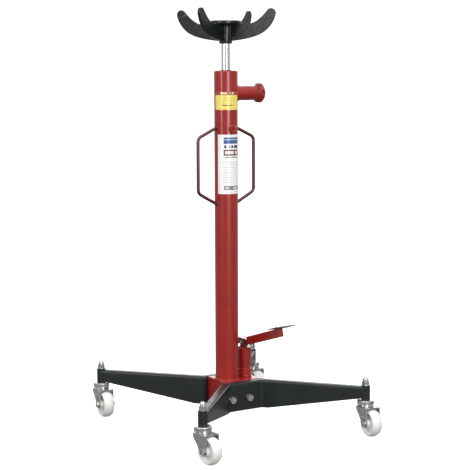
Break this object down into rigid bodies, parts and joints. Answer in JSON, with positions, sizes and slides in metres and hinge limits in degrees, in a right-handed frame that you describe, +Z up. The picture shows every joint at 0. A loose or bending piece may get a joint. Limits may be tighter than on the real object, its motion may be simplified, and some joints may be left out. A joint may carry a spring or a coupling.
{
  "type": "transmission jack",
  "caption": "Foot-pumped hydraulic jack: tall column with handle loops, chromed ram with a horned cradle, and splayed legs on swivel casters.",
  "frame": {"origin": "middle of the floor plan of the whole jack at rest, on the floor; the column axis stands 27 mm behind it, at x = -0.027", "axes": "+X to the pedal side, where the operator stands, +Y to the pump and release-valve side, +Z up along the column"},
  "size_m": [0.7248, 0.6203, 1.2515],
  "materials": {
    "red_paint": "gloss enamel",
    "purple_red_paint": "gloss enamel",
    "dark_red_paint": "gloss enamel",
    "red_plastic": "gloss",
    "black_paint": "semi-gloss powder coat",
    "horn_paint": "semi-gloss powder coat",
    "chrome_rod": "hard chrome, polished",
    "zinc_plate": "bright zinc plate",
    "nylon": "moulded satin",
    "bare_steel": "oiled bare steel",
    "bronze": "machined",
    "seal_rubber": "matt",
    "label_yellow": "printed film",
    "label_white": "printed film"
  },
  "bodies": {
    "frame": {"base_block": "red_paint", "base_plugs": "zinc_plate", "check_balls": "bare_steel", "front_leg_beam": "black_paint", "rear_leg_beam": "black_paint", "leg_bolts": "zinc_plate", "caster_sleeves": "black_paint", "caster_stems": "zinc_plate", "caster_races": "zinc_plate", "stem_nuts": "zinc_plate", "column_tube": "red_paint", "oil_filler_plug": "red_paint", "pressure_cylinder": "bare_steel", "gland_nut": "red_paint", "rod_wiper": "seal_rubber", "gland_seal": "seal_rubber", "upper_label": "label_yellow", "column_label": "label_white", "near_handle": "dark_red_paint", "far_handle": "dark_red_paint", "release_valve_housing": "red_paint", "release_valve_seat": "bare_steel", "release_valve_gland": "bare_steel", "pump_body": "red_paint", "pump_gland": "red_paint", "pedal_bracket": "purple_red_paint", "pivot_pin": "zinc_plate"},
    "ram": {"ram_rod": "chrome_rod", "ram_seal": "seal_rubber", "ram_guide": "bronze"},
    "saddle": {"saddle_hub": "horn_paint", "saddle_screw": "zinc_plate", "seat_disc": "horn_paint", "saddle_horn_1": "horn_paint", "saddle_horn_2": "horn_paint", "saddle_horn_3": "horn_paint", "saddle_horn_4": "horn_paint"},
    "release_valve": {"release_knob": "red_plastic", "release_spindle": "bare_steel", "knob_screw": "zinc_plate"},
    "plunger": {"pump_plunger": "bare_steel", "pump_cap": "red_paint", "pump_spring": "bare_steel"},
    "pedal": {"pedal_cheeks": "purple_red_paint", "pedal_bar": "red_paint", "foot_plate": "bare_steel", "roller_pin": "zinc_plate", "drive_roller": "zinc_plate"},
    "fork_front_near": {"caster_fork_front_near": "zinc_plate", "caster_axle_front_near": "zinc_plate"},
    "wheel_front_near": {"caster_wheel_front_near": "nylon"},
    "fork_front_far": {"caster_fork_front_far": "zinc_plate", "caster_axle_front_far": "zinc_plate"},
    "wheel_front_far": {"caster_wheel_front_far": "nylon"},
    "fork_rear_near": {"caster_fork_rear_near": "zinc_plate", "caster_axle_rear_near": "zinc_plate"},
    "wheel_rear_near": {"caster_wheel_rear_near": "nylon"},
    "fork_rear_far": {"caster_fork_rear_far": "zinc_plate", "caster_axle_rear_far": "zinc_plate"},
    "wheel_rear_far": {"caster_wheel_rear_far": "nylon"}
  },
  "joints": [
    {"name": "ram_slide", "type": "slide", "parent": "frame", "child": "ram", "axis": [0, 0, 1], "range_m": [-0.075, 0.715]},
    {"name": "saddle_spin", "type": "hinge", "parent": "ram", "child": "saddle", "pos_m": [-0.027, 0, 1.16], "axis": [0, 0, 1], "continuous": true},
    {"name": "pedal_hinge", "type": "hinge", "parent": "frame", "child": "pedal", "pos_m": [-0.069, 0.064, 0.24215], "axis": [0, 1, 0], "range_deg": [0, 19.19], "stiffness_Nm_per_rad": 9, "springref_deg": -34.38},
    {"name": "plunger_slide", "type": "slide", "parent": "frame", "child": "plunger", "axis": [0, 0, -1], "range_m": [0, 0.0141], "deforming": ["pump_spring"]},
    {"name": "release_valve_turn", "type": "hinge", "parent": "frame", "child": "release_valve", "pos_m": [-0.027, 0.08, 1.005], "axis": [0, 1, 0], "range_deg": [0, 180]},
    {"name": "caster_swivel_front_near", "type": "hinge", "parent": "frame", "child": "fork_front_near", "pos_m": [0.287, -0.27, 0.09], "axis": [0, 0, 1], "continuous": true},
    {"name": "wheel_spin_front_near", "type": "hinge", "parent": "fork_front_near", "child": "wheel_front_near", "pos_m": [0.31876, -0.2661, 0.04], "axis": [-0.1219, 0.9925, 0], "continuous": true},
    {"name": "caster_swivel_front_far", "type": "hinge", "parent": "frame", "child": "fork_front_far", "pos_m": [0.287, 0.289, 0.09], "axis": [0, 0, 1], "continuous": true},
    {"name": "wheel_spin_front_far", "type": "hinge", "parent": "fork_front_far", "child": "wheel_front_far", "pos_m": [0.31888, 0.28621, 0.04], "axis": [0.0872, 0.9962, 0], "continuous": true},
    {"name": "caster_swivel_rear_near", "type": "hinge", "parent": "frame", "child": "fork_rear_near", "pos_m": [-0.341, -0.27, 0.09], "axis": [0, 0, 1], "continuous": true},
    {"name": "wheel_spin_rear_near", "type": "hinge", "parent": "fork_rear_near", "child": "wheel_rear_near", "pos_m": [-0.30912, -0.27279, 0.04], "axis": [0.0872, 0.9962, 0], "continuous": true},
    {"name": "caster_swivel_rear_far", "type": "hinge", "parent": "frame", "child": "fork_rear_far", "pos_m": [-0.341, 0.289, 0.09], "axis": [0, 0, 1], "continuous": true},
    {"name": "wheel_spin_rear_far", "type": "hinge", "parent": "fork_rear_far", "child": "wheel_rear_far", "pos_m": [-0.30912, 0.28621, 0.04], "axis": [0.0872, 0.9962, 0], "continuous": true}
  ],
  "couplings": [
    {"joint": "plunger_slide", "follows": "pedal_hinge", "m_per_rad": 0.041804}
  ]
}
